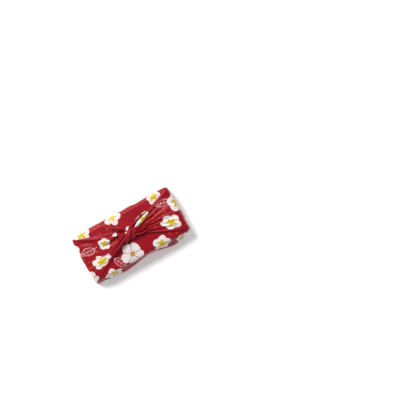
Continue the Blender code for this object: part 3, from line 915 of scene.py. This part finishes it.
class Graph:
    """Short forms for making shader nodes and joining them."""

    def __init__(self, tree):
        self.tree = tree

    def add(self, kind, **settings):
        node = self.tree.nodes.new(kind)
        for name, value in settings.items():
            setattr(node, name, value)
        return node

    def feed(self, socket, value):
        if isinstance(value, bpy.types.NodeSocket):
            self.tree.links.new(value, socket)
        else:
            socket.default_value = value

    def math(self, operation, *values):
        node = self.add("ShaderNodeMath", operation=operation)
        for socket, value in zip(node.inputs, values):
            self.feed(socket, value)
        return node.outputs[0]

    def times(self, product, *others):
        """The product of two or more values."""
        for other in others:
            product = self.math("MULTIPLY", product, other)
        return product

    def minus(self, value, taken):
        return self.math("SUBTRACT", value, taken)

    def absolute(self, value):
        return self.math("ABSOLUTE", value)

    def length(self, x, y):
        return self.math("SQRT", self.math("ADD", self.times(x, x), self.times(y, y)))

    def step(self, value, low, high):
        """0 below low and 1 above high, or the other way round where low is the larger."""
        node = self.add("ShaderNodeMapRange", interpolation_type="SMOOTHSTEP")
        for name, given in (("Value", value), ("From Min", low), ("From Max", high)):
            self.feed(node.inputs[name], given)
        return node.outputs[0]

    def blend(self, share, low, high):
        """A colour between two others. The node has them at 6 and 7, and its result at 2."""
        node = self.add("ShaderNodeMix", data_type="RGBA")
        self.feed(node.inputs["Factor"], share)
        self.feed(node.inputs[6], low)
        self.feed(node.inputs[7], high)
        return node.outputs[2]

    def corner(self, name):
        """The three values that a piece stores at its face corners, and all of them as one."""
        source = self.add("ShaderNodeAttribute", attribute_name=name)
        parts = self.add("ShaderNodeSeparateXYZ")
        self.feed(parts.inputs[0], source.outputs["Vector"])
        return (*parts.outputs, source.outputs["Vector"])

    def uneven(self, vector, form):
        """Noise over the cloth. form gives its scale and how many finer layers it has."""
        node = self.add("ShaderNodeTexNoise", noise_dimensions="2D")
        self.feed(node.inputs["Vector"], vector)
        for name, value in zip(("Scale", "Detail"), form):
            node.inputs[name].default_value = value
        return node.outputs["Fac"]


def by_kind(graph, kind, name):
    """A number for each kind of blossom, counted from 1."""
    total = 0.0
    for number, form in enumerate(BLOOM_KINDS, start=1):
        is_this = graph.math("COMPARE", kind, float(number), KIND_APART)
        total = graph.math("MULTIPLY_ADD", is_this, form[name], total)
    return total


def draw_blossoms(graph, ground, cloth):
    """Blossoms over the ground colour: round petals in a ring, a heart, and lines on the large kind."""
    *local, kind, _ = graph.corner("bloom")
    drifted = []
    for value, shift in zip(local, BLOOM_DRIFT_SHIFTS):
        shifted = graph.add("ShaderNodeVectorMath", operation="ADD")
        graph.feed(shifted.inputs[0], cloth)
        shifted.inputs[1].default_value = shift
        drift = graph.minus(graph.uneven(shifted.outputs[0], BLOOM_DRIFT_NOISE), 0.5)
        drifted.append(graph.math("MULTIPLY_ADD", drift, BLOOM_DRIFT, value))
    x, y = drifted
    radius = graph.length(x, y)
    half_sector = graph.math("DIVIDE", math.pi, by_kind(graph, kind, "petals"))
    turn = graph.math("WRAP", graph.math("ARCTAN2", y, x), half_sector, graph.times(half_sector, -1.0))
    ahead = graph.times(radius, graph.math("COSINE", turn))
    aside = graph.times(radius, graph.math("SINE", turn))
    away = graph.length(graph.minus(ahead, by_kind(graph, kind, "middle")), aside)
    petals = graph.step(graph.minus(away, by_kind(graph, kind, "round")), *PRINT_EDGE)
    petals = graph.math("MAXIMUM", petals, graph.step(radius, *BLOOM_MIDDLE))
    petals = graph.times(petals, graph.math("GREATER_THAN", kind, KIND_APART))
    streaks = graph.step(graph.uneven(cloth, STREAK_NOISE), *STREAK_SPAN)
    colour = graph.blend(petals, ground, graph.blend(streaks, PETAL_WHITE, PETAL_SHADE))

    large = graph.math("COMPARE", kind, LARGE_KIND, KIND_APART)
    rest = graph.minus(half_sector, graph.absolute(turn))
    between = graph.times(radius, graph.math("SINE", rest))
    line = graph.times(graph.step(between, *PETAL_LINE), graph.step(radius, *PETAL_LINE_END))
    vein = graph.times(graph.step(graph.absolute(aside), *PETAL_VEIN), graph.step(radius, *PETAL_VEIN_END))
    lines = graph.times(graph.math("MAXIMUM", line, vein), large, petals)
    colour = graph.blend(lines, colour, PETAL_LINE_COLOUR)

    lobe = graph.math("COSINE", graph.math("DIVIDE", graph.times(turn, math.pi / 2), half_sector))
    points = graph.times(lobe, lobe, by_kind(graph, kind, "star"))
    heart = graph.math("ADD", points, by_kind(graph, kind, "heart"))
    inside = graph.times(graph.step(graph.minus(radius, heart), *PRINT_EDGE), petals)
    flecks = graph.step(graph.uneven(cloth, FLECK_NOISE), *FLECK_SPAN)
    gold = graph.blend(flecks, HEART_YELLOW, HEART_OLIVE)
    rust = graph.blend(flecks, HEART_RUST, HEART_YELLOW)
    return graph.blend(inside, colour, graph.blend(large, gold, rust))


def draw_leaves(graph, ground):
    """Leaves in thin outline, with a rib that runs on as the stalk and slanted veins."""
    x, y, present, _ = graph.corner("leaf")
    height = graph.absolute(y)
    round_ = graph.minus(1.0, graph.times(x, x))
    width = graph.times(round_, graph.math("MULTIPLY_ADD", x, -LEAF_LEAN, LEAF_WIDTH))
    rim = graph.step(graph.absolute(graph.minus(height, width)), *LEAF_RIM)
    rim = graph.times(rim, graph.step(graph.absolute(x), *LEAF_RIM_END))
    rib = graph.step(height, *LEAF_RIB)
    rib = graph.times(rib, graph.step(x, *LEAF_STALK_END), graph.step(x, *LEAF_RIB_END))
    slant = graph.minus(x, graph.times(height, LEAF_VEIN_SLANT))
    phase = graph.math("WRAP", slant, LEAF_VEIN_GAP / 2, -LEAF_VEIN_GAP / 2)
    within = graph.minus(graph.times(width, LEAF_VEIN_REACH), height)
    vein = graph.step(graph.absolute(phase), *LEAF_VEIN)
    vein = graph.times(vein, graph.step(within, *LEAF_VEIN_FADE), graph.step(x, *LEAF_VEIN_END))
    lines = graph.math("MAXIMUM", rim, graph.math("MAXIMUM", rib, vein))
    return graph.blend(graph.times(lines, present), ground, LEAF_COLOUR)


def draw_dots(graph, ground, cloth, amount):
    """Small round dots in loose patches."""
    cells = graph.add("ShaderNodeTexVoronoi", voronoi_dimensions="2D", feature="F1")
    graph.feed(cells.inputs["Vector"], cloth)
    cells.inputs["Scale"].default_value = 1 / DOT_GAP
    cells.inputs["Randomness"].default_value = DOT_UNEVEN
    chance = graph.add("ShaderNodeSeparateColor")
    graph.feed(chance.inputs[0], cells.outputs["Color"])
    radius = graph.math("MULTIPLY_ADD", chance.outputs[0], DOT_LARGER / DOT_GAP, DOT_RADIUS / DOT_GAP)
    dot = graph.step(graph.math("DIVIDE", cells.outputs["Distance"], radius), *DOT_EDGE)
    share = graph.times(dot, graph.step(amount, *DOT_PATCH_EDGE), DOT_STRENGTH)
    return graph.blend(share, ground, DOT_COLOUR)


def weave_height(graph, u, v):
    """Height of a plain weave whose threads lie at 45 degrees to the wrapped form."""
    threads = []
    for sign in (1.0, -1.0):
        across = graph.math("MULTIPLY_ADD", v, sign, u)
        threads.append(graph.math("SINE", graph.times(across, math.sqrt(2) * math.pi / THREAD_GAP)))
    return graph.times(*threads)


def new_material(name, finish):
    """A material with one shader, whose sockets take the values of finish."""
    material = bpy.data.materials.new(name)
    material.use_nodes = True
    shader = material.node_tree.nodes["Principled BSDF"]
    for socket, value in finish.items():
        shader.inputs[socket].default_value = value
    return material, shader


def cloth_material(name, print_share):
    """Plain-woven cotton with the print, which shows by print_share."""
    material, shader = new_material(name, CLOTH_FINISH)
    graph = Graph(material.node_tree)
    u, v, dots, cloth = graph.corner("cloth")
    tone = graph.uneven(cloth, TONE_NOISE)
    ground = graph.blend(tone, CRIMSON_DEEP, CRIMSON)
    drawn = draw_dots(graph, ground, cloth, dots)
    drawn = draw_leaves(graph, drawn)
    drawn = draw_blossoms(graph, drawn, cloth)
    if print_share < 1:
        drawn = graph.blend(print_share, ground, drawn)
    gap, along, _, _ = graph.corner("hem")
    off_seam = graph.absolute(graph.minus(gap, HEM_WIDTH - STITCH_INSET))
    seam = graph.step(off_seam, *STITCH_LINE)
    phase = graph.absolute(graph.math("WRAP", along, STITCH_GAP / 2, -STITCH_GAP / 2))
    stitch = graph.times(seam, graph.step(phase, *STITCH_END), STITCH_SHADE)
    graph.feed(shader.inputs["Base Color"], graph.blend(stitch, drawn, THREAD_COLOUR))

    height = graph.times(weave_height(graph, u, v), WEAVE_DEPTH)
    height = graph.math("MULTIPLY_ADD", graph.step(gap, *HEM_EDGE), HEM_DEPTH, height)
    height = graph.math("MULTIPLY_ADD", graph.uneven(cloth, PUCKER_NOISE), PUCKER_DEPTH, height)
    height = graph.math("MULTIPLY_ADD", seam, -STITCH_DEPTH, height)
    bump = graph.add("ShaderNodeBump")
    bump.inputs["Strength"].default_value = 1.0
    bump.inputs["Distance"].default_value = 1.0
    graph.feed(bump.inputs["Height"], height)
    graph.feed(shader.inputs["Normal"], bump.outputs[0])
    roughness = graph.add("ShaderNodeMapRange")
    graph.feed(roughness.inputs["Value"], tone)
    roughness.inputs["To Min"].default_value = ROUGHNESS[0]
    roughness.inputs["To Max"].default_value = ROUGHNESS[1]
    graph.feed(shader.inputs["Roughness"], roughness.outputs[0])
    return material


def make_floor():
    mesh = bpy.data.meshes.new("floor")
    half = FLOOR_SIDE / 2
    corners = [(-half, -half, 0), (half, -half, 0), (half, half, 0), (-half, half, 0)]
    mesh.from_pydata(corners, [], [(0, 1, 2, 3)])
    mesh.materials.append(new_material("pale floor", FLOOR_FINISH)[0])
    floor = bpy.data.objects.new("floor", mesh)
    bpy.context.scene.collection.objects.link(floor)


def make_key():
    """The main light, as even over the floor as a large far softbox, with soft shadows."""
    lamp = bpy.data.lights.new("key", "SUN")
    lamp.energy = KEY_STRENGTH
    lamp.angle = KEY_ANGLE
    light = bpy.data.objects.new("key", lamp)
    light.rotation_mode = "QUATERNION"
    light.rotation_quaternion = Vector(KEY_AHEAD).to_track_quat("Z", "Y")
    bpy.context.scene.collection.objects.link(light)


def make_camera():
    """The photo's straight view from above, with the wrapped cloth at its left."""
    data = bpy.data.cameras.new("camera")
    data.sensor_width = SENSOR
    data.lens = SENSOR * CAMERA_HEIGHT / VIEW_WIDTH
    camera = bpy.data.objects.new("camera", data)
    up = Vector((math.cos(VIEW_TURN), math.sin(VIEW_TURN), 0.0))
    right = Vector((up.y, -up.x, 0.0))
    camera.matrix_world = Matrix.Translation((*VIEW_MIDDLE, CAMERA_HEIGHT)) @ Matrix(
        (right, up, Vector((0, 0, 1)))
    ).transposed().to_4x4()
    bpy.context.scene.collection.objects.link(camera)
    bpy.context.scene.camera = camera


def make_studio():
    make_camera()
    make_floor()
    make_key()
    world = bpy.data.worlds.new("studio")
    world.use_nodes = True
    background = world.node_tree.nodes["Background"]
    background.inputs["Color"].default_value = (1.0, 1.0, 1.0, 1.0)
    graph = Graph(world.node_tree)
    seen = graph.add("ShaderNodeLightPath").outputs["Is Camera Ray"]
    strength = graph.math("MULTIPLY_ADD", seen, BACKDROP - AMBIENT, AMBIENT)
    graph.feed(background.inputs["Strength"], strength)
    scene = bpy.context.scene
    scene.world = world
    scene.view_settings.view_transform = "Standard"


def in_place(piece):
    """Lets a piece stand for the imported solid, and move with it."""
    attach(piece, "root")
    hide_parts(NODE)
    return piece


printed = cloth_material("printed cotton", 1.0)
unprinted = cloth_material("cotton reverse", REVERSE_PRINT)
make_studio()
wrap = in_place(make_body())
for wing in WINGS:
    sheet = in_place(make_wing(wing))
knot = in_place(make_knot())
for side, stations in TAIL_STATIONS.items():
    sheet = in_place(make_tail(side, stations))
